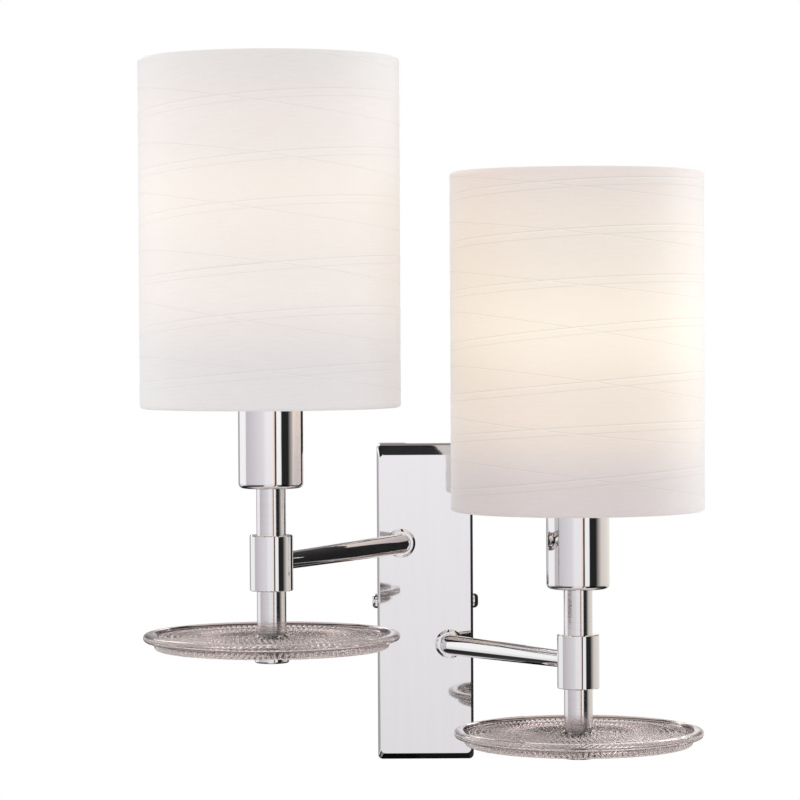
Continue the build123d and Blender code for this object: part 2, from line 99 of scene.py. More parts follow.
def rescaled(tree, value, before=(0, 1), after=(0, 1), ease="LINEAR"):
    """A value carried from one range into another."""
    node = add(tree, "ShaderNodeMapRange", {"interpolation_type": ease}, Value=value, From_Min=before[0],
               From_Max=before[1], To_Min=after[0], To_Max=after[1])
    return node.outputs["Result"]


def set_shader(tree, **sockets):
    """Feeds the named sockets of a material's Principled shader."""
    for name, value in sockets.items():
        feed(tree, tree.nodes["Principled BSDF"].inputs[name.replace("_", " ")], value)


def new_material(name):
    """A material with a plain Principled shader; returns it with its node tree."""
    material = bpy.data.materials.new(name)
    material.use_nodes = True
    return material, material.node_tree


def surface_grain():
    """Node group with a broad mask and a fine height, both from noise in the given coordinates."""
    group, source, result = new_group("ShaderNodeTree", "surface_grain",
                                      {"Vector": "Vector", "Fineness": "Float"},
                                      {"Mask": "Float", "Height": "Float"})
    place, fineness = source.outputs["Vector"], source.outputs["Fineness"]
    broad = add(group, "ShaderNodeTexNoise", Vector=place, Scale=1.0, Detail=3.0)
    fine = add(group, "ShaderNodeTexNoise", Vector=place, Scale=fineness, Detail=2.0)
    feed(group, result.inputs["Mask"], broad.outputs["Fac"])
    feed(group, result.inputs["Height"], fine.outputs["Fac"])
    return group


grain_group = surface_grain()
grain_depth = 0.0005


def grained_finish(name, tones, roughness, grain, fineness=6.0, bump=0.05, **sockets):
    """A Principled material whose tone, gloss and relief follow the grain; sockets are set as they are.

    The grain is a count of marks in a metre, the same in all directions or one for each."""
    material, tree = new_material(name)
    place = add(tree, "ShaderNodeTexCoord").outputs["Object"]
    counts = grain if isinstance(grain, tuple) else (grain, grain, grain)
    scaled = add(tree, "ShaderNodeMapping", Vector=place, Scale=counts).outputs["Vector"]
    marks = add(tree, "ShaderNodeGroup", {"node_tree": grain_group}, Vector=scaled, Fineness=fineness).outputs
    relief = add(tree, "ShaderNodeBump", Strength=bump, Distance=grain_depth, Height=marks["Height"])
    set_shader(tree, Base_Color=mixed(tree, marks["Mask"], *tones), Normal=relief.outputs["Normal"],
               Roughness=rescaled(tree, marks["Mask"], after=roughness), **sockets)
    return material


def give(material, *names):
    """Puts a finish on CAD pieces."""
    for name in names:
        nodes[name].data.materials.clear()
        nodes[name].data.materials.append(material)


zinc_steel = grained_finish("zinc_steel", tones=((0.42, 0.43, 0.45), (0.62, 0.63, 0.66)),
                            roughness=(0.28, 0.5), grain=140, bump=0.08, Metallic=1.0)
green_steel = grained_finish("green_steel", tones=((0.03, 0.18, 0.07), (0.06, 0.3, 0.12)),
                             roughness=(0.3, 0.45), grain=220, Metallic=0.6)
connector_plastic = grained_finish("connector_plastic", tones=((0.75, 0.33, 0.05), (0.85, 0.42, 0.08)),
                                   roughness=(0.35, 0.5), grain=180, bump=0.1)
lead_sheath = grained_finish("lead_sheath", tones=((0.75, 0.74, 0.72), (0.84, 0.83, 0.81)),
                             roughness=(0.4, 0.55), grain=250, bump=0.06)
give(zinc_steel, "wall_bracket")
give(green_steel, "ground_screw")
give(connector_plastic, "lead_connectors")
give(lead_sheath, "left_lead", "right_lead")

# Backplate: a pan pressed from sheet brass, polished and chromed, held by a screw in each side.
# Polishing has worn its upper and lower edges into a longer, softer curve than its sides.
polished_chrome = grained_finish("polished_chrome", tones=((0.87, 0.86, 0.87), (0.91, 0.9, 0.915)),
                                 roughness=(0.02, 0.055), grain=(240, 240, 16), fineness=5.0, bump=0.007,
                                 Metallic=1.0)


def into_mesh(piece):
    """Replaces a piece's mesh by what its modifiers make of it, and removes them."""
    graph = bpy.context.evaluated_depsgraph_get()
    made = bpy.data.meshes.new_from_object(piece.evaluated_get(graph), preserve_all_data_layers=True,
                                           depsgraph=graph)
    piece.modifiers.clear()
    piece.data = made


def new_piece(name, points, faces, material, body):
    """A smooth mesh piece that rides on a CAD body."""
    mesh = bpy.data.meshes.new(name)
    mesh.from_pydata(points, [], faces)
    mesh.materials.append(material)
    mesh.shade_smooth()
    piece = bpy.data.objects.new(name, mesh)
    scene.collection.objects.link(piece)
    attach(piece, body)
    return piece


def rounded_outline(half_width, bottom, top, radius, steps):
    """Points round a rectangle with rounded corners, anticlockwise as the viewer sees it."""
    corners = ((1, top - radius), (-1, top - radius), (-1, bottom + radius), (1, bottom + radius))
    points = []
    for turn, (across, height) in enumerate(corners):
        middle = across * (half_width - radius)
        for step in range(steps + 1):
            angle = radians(90 * turn + 90 * step / steps)
            points.append((middle + radius * cos(angle), height + radius * sin(angle)))
    return points


def pressed_pan():
    """Open shell of the plate: rim on the wall, straight sides, rounded edges and a flat face."""
    low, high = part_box("backplate")
    half_width, front = high.x, low.y
    corner_radius, corner_steps = 0.003, 10
    turn_radius, worn_band, steep, slight, edge_steps = 0.005, 0.0056, 46, 36, 8
    side_share, bottom_share, flat_margin = 0.25, 0.64, 0.0005
    edge = []
    for step in range(edge_steps + 1):
        lean = radians(90 + (steep - 90) * step / edge_steps)
        edge.append((turn_radius * (1 - sin(lean)), -turn_radius * cos(lean)))
    for step in range(edge_steps):
        lean = radians(steep + (slight - steep) * (step + 0.5) / edge_steps)
        run = worn_band / edge_steps
        edge.append((edge[-1][0] + run, edge[-1][1] - run * tan(lean)))
    edge.append((edge[-1][0] + flat_margin, edge[-1][1]))
    rings = [(0.0, 0.0, high.y), (0.0, 0.0, (high.y + front) / 2)]
    for inset, rise in edge:
        rings.append((side_share * inset, inset, front + rise - edge[-1][1]))
    points, faces = [], []
    for side_inset, end_inset, depth in rings:
        bottom, top = low.z + bottom_share * end_inset, high.z - end_inset
        outline = rounded_outline(half_width - side_inset, bottom, top, corner_radius, corner_steps)
        points += [(x, depth, z) for x, z in outline]
    count = 4 * (corner_steps + 1)
    for ring in range(len(rings) - 1):
        for i in range(count):
            after = (i + 1) % count
            faces.append((ring * count + i, ring * count + after,
                          (ring + 1) * count + after, (ring + 1) * count + i))
    faces.append(tuple(range((len(rings) - 1) * count, len(rings) * count)))
    return points, faces


def drill(piece, start, end, diameter):
    """Cuts a round hole through a piece from start to end."""
    run = Vector(end) - Vector(start)
    turn = run.to_track_quat("Z", "Y").to_matrix().to_4x4()
    steps = 48
    angles = [2 * pi * i / steps for i in range(steps)]
    ring = [(diameter / 2 * cos(angle), diameter / 2 * sin(angle)) for angle in angles]
    points = [turn @ Vector((x, y, z)) + Vector(start) for z in (0, run.length) for x, y in ring]
    faces = [(i, (i + 1) % steps, steps + (i + 1) % steps, steps + i) for i in range(steps)]
    faces += [tuple(reversed(range(steps))), tuple(range(steps, 2 * steps))]
    mesh = bpy.data.meshes.new("drill")
    mesh.from_pydata(points, [], faces)
    tool = bpy.data.objects.new("drill", mesh)
    scene.collection.objects.link(tool)
    cut = piece.modifiers.new("hole", "BOOLEAN")
    cut.operation, cut.solver, cut.object = "DIFFERENCE", "EXACT", tool
    into_mesh(piece)
    bpy.data.objects.remove(tool)


plate_wall, metal_crease = 0.0012, radians(15)
arm_hole, side_hole, side_hole_depth = 0.0104, 0.0044, -0.011
backplate = new_piece("backplate_pan", *pressed_pan(), polished_chrome, "sconce_frame")
wall = backplate.modifiers.new("wall", "SOLIDIFY")
wall.thickness, wall.offset, wall.use_even_offset = plate_wall, -1, True
into_mesh(backplate)
plate_low, plate_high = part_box("backplate")
for side in sides:
    flange_low, flange_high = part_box(f"{side}_arm_flange")
    middle = (flange_low + flange_high) / 2
    drill(backplate, (middle.x, plate_low.y - plate_wall, middle.z),
          (middle.x, plate_low.y + 2 * plate_wall, middle.z), arm_hole)
    outside = plate_high.x if side == "right" else plate_low.x
    inward = -1 if side == "right" else 1
    drill(backplate, (outside - inward * plate_wall, side_hole_depth, 0),
          (outside + 2 * inward * plate_wall, side_hole_depth, 0), side_hole)
backplate.data.set_sharp_from_angle(angle=metal_crease)
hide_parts("backplate")
give(polished_chrome, "side_screws")

# Arms: bent brass tubes, chromed, each clamped through the plate by a nut and washer behind it.
# A turned ring with a sloping edge covers the hole, and the thin end is soldered into its lamp's collar.


def turned_mesh(profile, steps):
    """Points and faces of a closed profile of radii and heights, turned about the Z axis.

    The profile runs clockwise, outward along the top, so that the faces point outwards."""
    angles = [2 * pi * i / steps for i in range(steps)]
    points = [(r * cos(angle), r * sin(angle), z) for r, z in profile for angle in angles]
    count = len(profile)
    faces = []
    for row in range(count):
        above = (row + 1) % count
        for i in range(steps):
            after = (i + 1) % steps
            faces.append((row * steps + i, above * steps + i, above * steps + after, row * steps + after))
    return points, faces


def arc(middle, radius, start, end, steps):
    """Points on an arc in a profile, with angles in degrees from the outward direction."""
    angles = [radians(start + (end - start) * i / steps) for i in range(steps + 1)]
    return [(middle[0] + radius * cos(a), middle[1] + radius * sin(a)) for a in angles]


def flange_profile(rim, rise):
    """Profile of the ring from its bore outward: a flat land, a convex slope, a rounded edge and a foot."""
    bore, land, edge_radius, slope_steps, slight, steep = 0.0064, 0.0074, 0.0003, 6, 20, 34
    slope_end = rim - edge_radius * (1 - sin(radians(steep)))
    run = (slope_end - land) / slope_steps
    rows = [(bore, rise), (land, rise)]
    for step in range(slope_steps):
        lean = radians(slight + (steep - slight) * (step + 0.5) / slope_steps)
        rows.append((rows[-1][0] + run, rows[-1][1] - run * tan(lean)))
    middle = (slope_end - edge_radius * sin(radians(steep)), rows[-1][1] - edge_radius * cos(radians(steep)))
    rows += arc(middle, edge_radius, 90 - steep, 0, slope_steps)[1:]
    return rows + [(rim, 0.0), (bore, 0.0)]


flange_steps = 96
outward = Matrix.Rotation(radians(90), 4, "X")
for side in sides:
    flange_low, flange_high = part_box(f"{side}_arm_flange")
    middle = (flange_low + flange_high) / 2
    flange_shape = flange_profile((flange_high.x - flange_low.x) / 2, flange_high.y - flange_low.y)
    flange = new_piece(f"{side}_flange_ring", *turned_mesh(flange_shape, flange_steps), polished_chrome,
                       "sconce_frame")
    flange.data.transform(Matrix.Translation((middle.x, flange_high.y, middle.z)) @ outward)
    flange.data.set_sharp_from_angle(angle=metal_crease)
    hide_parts(f"{side}_arm_flange")
    give(polished_chrome, f"{side}_arm")
    give(zinc_steel, f"{side}_arm_washer", f"{side}_arm_locknut")

# Lamp stacks: turned brass collars, stems, cups and nuts, chromed, strung on a hollow threaded rod.
# The cup holds a moulded lampholder with a thin brass shell and a sprung contact.
turned_chrome = grained_finish("turned_chrome", tones=((0.80, 0.78, 0.79), (0.9, 0.885, 0.9)),
                               roughness=(0.06, 0.14), grain=(30, 30, 1500), fineness=2.0, Metallic=1.0)
black_phenolic = grained_finish("black_phenolic", tones=((0.012, 0.012, 0.013), (0.03, 0.03, 0.032)),
                                roughness=(0.3, 0.5), grain=160, bump=0.08)
brass = grained_finish("brass", tones=((0.62, 0.45, 0.18), (0.76, 0.57, 0.25)), roughness=(0.22, 0.38),
                       grain=150, Metallic=1.0)
for side in sides:
    give(polished_chrome, f"{side}_collar", f"{side}_socket_cup", f"{side}_finial")
    give(turned_chrome, f"{side}_upper_stem", f"{side}_lower_stem")
    give(zinc_steel, f"{side}_threaded_rod", f"{side}_cup_locknut")
    give(black_phenolic, f"{side}_lampholder")
    give(brass, f"{side}_screw_shell", f"{side}_centre_contact")

# Glass discs: thick pressed glass with a smooth raised lip, rings of beads on the field and a row of
# beads round the lower step. Soft clear washers hold each one between the stem and the nut.


def node_math(tree, operation, *values):
    """A Math node's result; each value is a number or another node's output."""
    node = add(tree, "ShaderNodeMath", {"operation": operation})
    for socket, value in zip(node.inputs, values):
        feed(tree, socket, value)
    return node.outputs[0]


def diagonal(tree, across, along):
    """Length of the diagonal over two lengths."""
    squares = [node_math(tree, "MULTIPLY", value, value) for value in (across, along)]
    return node_math(tree, "SQRT", node_math(tree, "ADD", *squares))


def end_tree(tree, made, source, result):
    """Gives what a geometry tree has made its finish, and puts it out."""
    real = add(tree, "GeometryNodeRealizeInstances", Geometry=made)
    painted = add(tree, "GeometryNodeSetMaterial", Geometry=real.outputs["Geometry"],
                  Material=source.outputs["Finish"])
    feed(tree, result.inputs["Geometry"], painted.outputs["Geometry"])


def run_tree(piece, tree, **inputs):
    """Runs a geometry node tree on a piece and keeps the mesh that it makes."""
    modifier = piece.modifiers.new(tree.name, "NODES")
    modifier.node_group = tree
    for item in tree.interface.items_tree:
        label = item.name.replace(" ", "_")
        if item.in_out == "INPUT" and label in inputs:
            modifier[item.identifier] = inputs[label]
    into_mesh(piece)


def bead_press():
    """Tree that raises rings of round beads where the field attribute is 1, and scallops the step.

    A stored attribute says how far a point lies between the beads or scallops, where the glass is painted
    darker as shade."""
    tree, source, result = new_group(
        "GeometryNodeTree", "bead_press",
        {"Geometry": "Geometry", "Inner radius": "Float", "Ring pitch": "Float", "Bead pitch": "Float",
         "Bead radius": "Float", "Bead height": "Float", "Step height": "Float", "Finish": "Material"},
        {"Geometry": "Geometry"})
    given = source.outputs
    inner, pitch, bead_pitch = given["Inner radius"], given["Ring pitch"], given["Bead pitch"]
    calc = partial(node_math, tree)
    place = add(tree, "GeometryNodeInputPosition").outputs[0]
    x, y, z = add(tree, "ShaderNodeSeparateXYZ", Vector=place).outputs
    on_field, on_step = [add(tree, "GeometryNodeInputNamedAttribute", Name=label).outputs["Attribute"]
                         for label in ("field", "step")]
    radius = diagonal(tree, x, y)
    share = calc("DIVIDE", calc("ARCTAN2", y, x), 2 * pi)
    ring = calc("FLOOR", calc("DIVIDE", calc("SUBTRACT", radius, inner), pitch))
    centre = calc("ADD", inner, calc("MULTIPLY", calc("ADD", ring, 0.5), pitch))
    round_centre = calc("MULTIPLY", centre, 2 * pi)
    count = calc("ROUND", calc("DIVIDE", round_centre, bead_pitch))
    stagger = calc("MULTIPLY", calc("MODULO", ring, 2.0), 0.5)
    turn = calc("ADD", calc("MULTIPLY", share, count), stagger)
    along = calc("MULTIPLY", calc("SUBTRACT", calc("FRACT", turn), 0.5), calc("DIVIDE", round_centre, count))
    across = calc("SUBTRACT", radius, centre)
    off = calc("DIVIDE", diagonal(tree, along, across), given["Bead radius"])
    near = calc("MAXIMUM", calc("SUBTRACT", 1.0, calc("MULTIPLY", off, off)), 0.0)
    raised = calc("MULTIPLY", calc("MULTIPLY", calc("SQRT", near), given["Bead height"]), on_field)
    step_count = calc("ROUND", calc("DIVIDE", calc("MULTIPLY", radius, 2 * pi), bead_pitch))
    wave = calc("ABSOLUTE", calc("SINE", calc("MULTIPLY", share, calc("MULTIPLY", step_count, pi))))
    out = calc("MULTIPLY", calc("MULTIPLY", wave, given["Step height"]), on_step)
    grow = calc("ADD", calc("DIVIDE", out, radius), 1.0)
    between_beads = calc("MULTIPLY", calc("SUBTRACT", 1.0, near), on_field)
    between_scallops = calc("MULTIPLY", calc("SUBTRACT", 0.5, calc("MULTIPLY", wave, 0.5)), on_step)
    moved = add(tree, "ShaderNodeCombineXYZ", X=calc("MULTIPLY", x, grow), Y=calc("MULTIPLY", y, grow),
                Z=calc("ADD", z, raised))
    # How far each point lies between beads or scallops, for painted shade in those hollows.
    marked = add(tree, "GeometryNodeStoreNamedAttribute", Geometry=given["Geometry"], Name="valley",
                 Value=calc("ADD", between_beads, between_scallops))
    pressed = add(tree, "GeometryNodeSetPosition", Geometry=marked.outputs["Geometry"],
                  Position=moved.outputs[0])
    end_tree(tree, pressed.outputs["Geometry"], source, result)
    return tree


def mark_of(tree, label):
    """The value of a mesh attribute in a material."""
    return add(tree, "ShaderNodeAttribute", {"attribute_name": label}).outputs["Fac"]


def paint_shade(material, label, tone):
    """Paints shade on a material: multiplies its colour by a tone where the named attribute is 1."""
    tree = material.node_tree
    colour = tree.nodes["Principled BSDF"].inputs["Base Color"].links[0].from_socket
    set_shader(tree, Base_Color=mixed(tree, mark_of(tree, label), colour, tone, "MULTIPLY"))


pressed_glass = grained_finish("pressed_glass", tones=((0.96, 0.86, 0.845), (1.0, 0.91, 0.895)),
                               roughness=(0.004, 0.014), grain=60, bump=0.02,
                               Transmission_Weight=1.0, IOR=1.5)
# Painted shade on the lip's inner wall, under the lip and in the throat below it.
paint_shade(pressed_glass, "lip", (0.28, 0.23, 0.23))
# Painted shade between the beads and the step's scallops.
paint_shade(pressed_glass, "valley", (0.6, 0.55, 0.545))
clear_rubber = grained_finish("clear_rubber", tones=((0.7, 0.7, 0.69), (0.8, 0.8, 0.79)),
                              roughness=(0.4, 0.6), grain=200, Transmission_Weight=0.5)
disc_steps, samples_per_ring = 720, 6
disc_hole, disc_thickness, lip_rise, lip_thickness = 0.0055, 0.0078, 0.0011, 0.0042
lip_width, lip_slope, disc_step, disc_step_radius = 0.0055, 0.003, 0.007, 0.002
lip_wall = ((0.4, 0.2), (0.65, 0.55), (0.8, 0.83), (0.9, 0.95))
# Shares of painted shade on the lip's inner wall, under the lip and in the throat.
lip_wall_shade, lip_under_shade, throat_shade = 1, 0.35, 0.5
lip_arc_steps, throat_arc_steps, step_arc_steps, throat_arc_start = 12, 3, 8, 110
bead_rings, field_start, bead_pitch, bead_radius = 16, 0.0112, 0.0033, 0.00152
bead_height, step_bead_height, throat_radius = 0.0012, 0.0007, 0.0007
pad_radius, field_sink = 0.0095, 0.0015
bead_tree = bead_press()


def disc_profile(rim):
    """Profile of the glass from the hole's upper edge outward and back below.

    Each row is a radius, a height, and the shares of the field, step and lip attributes; the lip share is
    painted shade."""
    lip_radius = lip_thickness / 2
    lip_middle = lip_rise - lip_radius
    field_end = rim - lip_width - lip_slope
    floor = -field_sink
    rows = [(disc_hole, 0.0, 0, 0, 0), (pad_radius, 0.0, 0, 0, 0), (field_start, floor, 0, 0, 0)]
    count = bead_rings * samples_per_ring
    for i in range(1, count):
        rows.append((field_start + (field_end - field_start) * i / count, floor, 1, 0, 0))
    rows.append((field_end, floor, 0, 0, lip_wall_shade))
    for along, up in lip_wall:
        rows.append((field_end + along * lip_slope, floor + up * (lip_rise - floor), 0, 0, lip_wall_shade))
    rows.append((field_end + lip_slope, lip_rise, 0, 0, 0))
    for r, z in arc((rim - lip_radius, lip_middle), lip_radius, 90, -90, lip_arc_steps):
        rows.append((r, z, 0, 0, lip_under_shade * max(0.0, lip_middle - z) / lip_radius))
    lower, under, bottom = rim - disc_step, lip_middle - lip_radius, -disc_thickness
    throat_middle = (lower + disc_step_radius / 2, under - throat_radius)
    throat = [(throat_middle[0], under)]
    throat += arc(throat_middle, throat_radius, throat_arc_start, 180, throat_arc_steps)
    rows += [(r, z, 0, 0, throat_shade) for r, z in throat]
    step_middle = (lower - disc_step_radius, bottom + disc_step_radius)
    step = arc(step_middle, disc_step_radius, 0, -90, step_arc_steps)
    rows += [(r, z, 0, 1, 0) for r, z in step]
    return rows + [(lower - 2 * disc_step_radius, bottom, 0, 0, 0), (disc_hole, bottom, 0, 0, 0)]


for side in sides:
    disc_low, disc_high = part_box(f"{side}_glass_disc")
    lamp = (disc_low + disc_high) / 2
    disc_rim = (disc_high.x - disc_low.x) / 2
    profile = disc_profile(disc_rim)
    disc = new_piece(f"{side}_beaded_disc", *turned_mesh([row[:2] for row in profile], disc_steps),
                     pressed_glass, "sconce_frame")
    for column, label in enumerate(("field", "step", "lip"), start=2):
        mask = disc.data.attributes.new(label, "FLOAT", "POINT")
        mask.data.foreach_set("value", [row[column] for row in profile for _ in range(disc_steps)])
    ring_pitch = (disc_rim - lip_width - lip_slope - field_start) / bead_rings
    run_tree(disc, bead_tree, Inner_radius=field_start, Ring_pitch=ring_pitch, Bead_pitch=bead_pitch,
             Bead_radius=bead_radius, Bead_height=bead_height, Step_height=step_bead_height,
             Finish=pressed_glass)
    disc.data.transform(Matrix.Translation((lamp.x, lamp.y, disc_high.z - lip_rise)))
    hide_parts(f"{side}_glass_disc")
    give(clear_rubber, f"{side}_disc_washers")

# Shade frames: white-painted wire rings and spokes on a pressed ring, clamped on the lampholder by a
# screwed ring. A stiff white liner stands inside the fabric, with the bulb's light on it painted as glow.
white_metal = grained_finish("white_metal", tones=((0.78, 0.77, 0.75), (0.86, 0.85, 0.83)),
                             roughness=(0.35, 0.5), grain=120)


def banded(tree, place, stops, ease="LINEAR"):
    """The colour at a place on a ramp, from stops of a position and a colour."""
    node = add(tree, "ShaderNodeValToRGB", Fac=place)
    node.color_ramp.interpolation = ease
    elements = node.color_ramp.elements
    while len(elements) < len(stops):
        elements.new(0.5)
    for element, (position, colour) in zip(elements, stops):
        element.position = position
        element.color = (*colour, 1)
    return node.outputs["Color"]


doubled_tone = (0.66, 0.68, 0.7)


def glow(material, bottom, top, colours, doubled=None):
    """Paints the bulb's light through a shade as glow, with colours from its lower edge to its upper edge.

    Less painted glow comes through where the doubled mask is 1."""
    tree = material.node_tree
    place = add(tree, "ShaderNodeTexCoord").outputs["Object"]
    height = add(tree, "ShaderNodeSeparateXYZ", Vector=place).outputs["Z"]
    light = banded(tree, rescaled(tree, height, (bottom, top)), colours, "EASE")
    if doubled:
        light = mixed(tree, doubled, light, doubled_tone, "MULTIPLY")
    set_shader(tree, Emission_Color=light, Emission_Strength=1.0)


# Painted glow: the bulb's light through each shade, as emission colours from its lower edge to its upper
# edge.
painted_glow_colours = {
    "left": ((0.1, (0.0, 0.0, 0.0)), (0.36, (0.14, 0.105, 0.062)), (0.6, (0.195, 0.155, 0.09)),
             (0.8, (0.135, 0.1, 0.065)), (0.97, (0.05, 0.05, 0.035))),
    "right": ((0.06, (0.0, 0.0, 0.0)), (0.3, (0.19, 0.15, 0.07)), (0.53, (0.3, 0.27, 0.16)),
              (0.8, (0.2, 0.18, 0.107)), (1.0, (0.13, 0.115, 0.08))),
}
for side in sides:
    shade_low, shade_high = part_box(f"{side}_shade_fabric")
    liner = grained_finish(f"{side}_liner", tones=((0.78, 0.76, 0.73), (0.84, 0.82, 0.79)),
                           roughness=(0.45, 0.6), grain=90)
    glow(liner, shade_low.z, shade_high.z, painted_glow_colours[side])
    give(liner, f"{side}_shade_liner")
    give(white_metal, *(f"{side}_{piece}" for piece in
                        ("shade_rings", "shade_spokes", "shade_fitter", "shade_ring")))

# Shades: white cloth drums turned in over the wire rings, wound with sheer ribbon. One ribbon climbs
# to the right and one falls, so their corded edges cross in long thin loops.


def thread_lines():
    """Node group with slubs that run along the cloth: a tone and a height, from a map in metres."""
    group, source, result = new_group("ShaderNodeTree", "thread_lines", {"Map": "Vector"},
                                      {"Tone": "Float", "Height": "Float"})
    threads_per_metre = {"slub": (70, 1000, 1), "thread": (200, 1600, 1), "weave": (900, 1400, 1)}
    marks = {}
    for name, counts in threads_per_metre.items():
        stretched = add(group, "ShaderNodeMapping", Vector=source.outputs["Map"], Scale=counts)
        noise = add(group, "ShaderNodeTexNoise", Vector=stretched.outputs["Vector"], Scale=1.0, Detail=2.0)
        marks[name] = noise.outputs["Fac"]
    both = node_math(group, "ADD", marks["slub"], marks["weave"])
    feed(group, result.inputs["Tone"], rescaled(group, both, before=(0.55, 1.45)))
    feed(group, result.inputs["Height"], marks["thread"])
    return group


thread_group = thread_lines()
# lit_edge_tone is the colour of a painted highlight beside each ribbon's cord.
thread_depth, thread_relief, lit_edge_tone = 0.0003, 0.35, (0.93, 0.91, 0.9)


def cloth_finish(name, tones, edge_tone):
    """White cloth with slubbed threads along its map; returns it with the mask for painted shade and
    highlight on its cords.

    It is darker where that mask is 1, partly the cords' own thread and partly painted shade, and lighter
    where it is -1, a painted highlight."""
    material, tree = new_material(name)
    chart = add(tree, "ShaderNodeUVMap", {"uv_map": "UVMap"}).outputs["UV"]
    threads = add(tree, "ShaderNodeGroup", {"node_tree": thread_group}, Map=chart).outputs
    edge = mark_of(tree, "cord_shade_and_highlight")
    # Darker on the cords, partly their own thread and partly painted shade, then a painted highlight just
    # below them.
    corded = mixed(tree, edge, mixed(tree, threads["Tone"], *tones), edge_tone)
    lit = mixed(tree, node_math(tree, "MULTIPLY", edge, -1.0), corded, lit_edge_tone)
    relief = add(tree, "ShaderNodeBump", Strength=thread_relief, Distance=thread_depth,
                 Height=threads["Height"])
    satin = rescaled(tree, threads["Height"], before=(0.3, 0.7), after=(0.45, 0.65))
    set_shader(tree, Base_Color=lit, Roughness=satin, Normal=relief.outputs["Normal"], Sheen_Weight=1.0)
    return material, edge


def map_cloth(piece, places):
    """Gives a mesh the map of its flat cloth, from a place in metres for each point."""
    chart = piece.data.uv_layers.new(name="UVMap")
    for loop in piece.data.loops:
        chart.data[loop.index].uv = places[loop.vertex_index]


ribbon_room = 0.00066


def drum_profile(radius, bottom, top):
    """Closed profile of the cloth: a thin wall, with a doubled hem turned in over a wire at each end.

    The wall steps in below the rolled edges, to leave room for the ribbons."""
    thickness, roll, hem, arc_steps, wall_steps, lining_steps = 0.0008, 0.0024, 0.008, 12, 20, 24
    wire, inner = radius - roll, roll - thickness
    low, high = bottom + roll, top - roll
    taper = ((0.0005, 0.02), (0.0012, 0.12), (0.002, 0.45), (0.0028, 0.8), (0.0038, 0.97), (0.005, 1.0))
    taper_end = taper[-1][0]
    wall_run = high - low - 2 * taper_end
    wall = [(radius - ribbon_room * share, low + up) for up, share in taper]
    wall += [(radius - ribbon_room, low + taper_end + wall_run * i / wall_steps)
             for i in range(1, wall_steps)]
    wall += [(radius - ribbon_room * share, high - up) for up, share in reversed(taper)]
    over = arc((wire, high), roll, 0, 180, arc_steps)
    tucked = [(wire - roll, high - hem), (wire - inner, high - hem)]
    under = arc((wire, high), inner, 180, 0, arc_steps)
    inside = [(radius - thickness, high + (low - high) * i / lining_steps)
              for i in range(1, lining_steps + 1)]
    lower_inner = arc((wire, low), inner, 0, -180, arc_steps)
    lower_tucked = [(wire - inner, low + hem), (wire - roll, low + hem)]
    lower_outer = arc((wire, low), roll, 180, 360, arc_steps)
    whole = wall + over + tucked + under + inside + lower_inner[1:] + lower_tucked + lower_outer
    return whole[::-1]


def ribbon_strip(pitch, overlap, lean, cord_height, steps):
    """One flat turn of ribbon: a share of the turn along X, metres across along Y and outward along Z.

    It leans out towards its corded upper edge, which lies over the next turn, and swells over that
    turn's edge. Returns points, faces and a mark for each point: darker on the cord and the swell, partly
    the cord's own thread and partly painted shade, and a painted highlight just below the cord."""
    width, thickness, cord, swell = pitch + overlap, 0.00012, 0.0005, 0.00005
    flat_steps, approach, swell_reach = 5, 0.001, 0.0004
    rib_foot, rib_start, rib_end, groove_share = 0.0014, 0.0011, 0.0008, 0.9
    cord_start, cord_end = 0.7 * cord, 0.3 * cord
    # Marks: a painted highlight below the cord, and painted shade on the swell and the cord, partly their own
    # thread.
    lit, shaded, dark = -0.25, 0.8, 1.0
    outer = [(pitch * i / flat_steps, 0.0, 0.0) for i in range(flat_steps)]
    outer += [(pitch - approach, 0.0, 0.0), (pitch - swell_reach, 0.0, 0.0), (pitch, swell, shaded),
              (pitch + swell_reach, 0.0, 0.0), (width - rib_foot, 0.0, 0.0),
              (width - rib_start, cord_height, lit), (width - rib_end, cord_height, lit),
              (width - cord, groove_share * cord_height, 0.0), (width - cord_start, cord_height, dark),
              (width - cord_end, cord_height, dark)]
    section = [(across, lean * across + thickness + lift, mark) for across, lift, mark in outer]
    section += [(width, lean * width, dark), (width - cord, lean * width, 0.0), (0.0, 0.0, 0.0)]
    count = len(section)
    points = [(i / steps, across, lift) for i in range(steps + 1) for across, lift, _ in section]
    faces = []
    for start in range(0, steps * count, count):
        for k in range(count):
            after = (k + 1) % count
            faces.append((start + k, start + count + k, start + count + after, start + after))
    return points, faces, [mark for _ in range(steps + 1) for _, _, mark in section]


